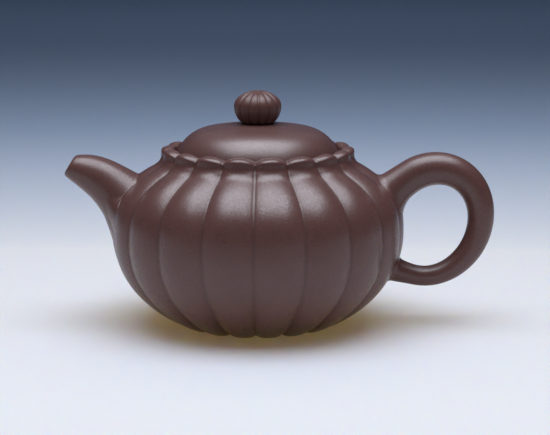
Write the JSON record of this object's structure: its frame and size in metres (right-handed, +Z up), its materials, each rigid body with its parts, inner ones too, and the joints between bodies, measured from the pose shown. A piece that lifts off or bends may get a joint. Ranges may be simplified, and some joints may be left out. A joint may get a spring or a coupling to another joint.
{
  "type": "clay teapot",
  "caption": "Squat lobed teapot of unglazed purple-brown clay, with a scalloped collar, short spout, loop handle and a domed lift-off lid with a ribbed knob.",
  "frame": {"origin": "on the pot's axis, on the plane that the resting ring stands on", "axes": "+Z up along the pot's axis, +X towards the handle, -X towards the spout, -Y towards the viewer of the picture"},
  "size_m": [0.1569, 0.1072, 0.0858],
  "materials": {
    "purple_clay": "unglazed fired clay, matte to satin, fine grain"
  },
  "bodies": {
    "pot": {"bowl_wall": "purple_clay", "shoulder_wall": "purple_clay", "base_disc": "purple_clay", "mouth_ring": "purple_clay", "scalloped_collar": "purple_clay", "spout": "purple_clay", "strainer_dome": "purple_clay", "handle": "purple_clay"},
    "lid": {"lid_dome": "purple_clay", "lid_seat_ring": "purple_clay", "lid_flange": "purple_clay", "knob": "purple_clay"}
  },
  "joints": [
    {"name": "lid_lift", "type": "slide", "parent": "pot", "child": "lid", "axis": [0, 0, 1], "range_m": [0, 0.04]}
  ]
}
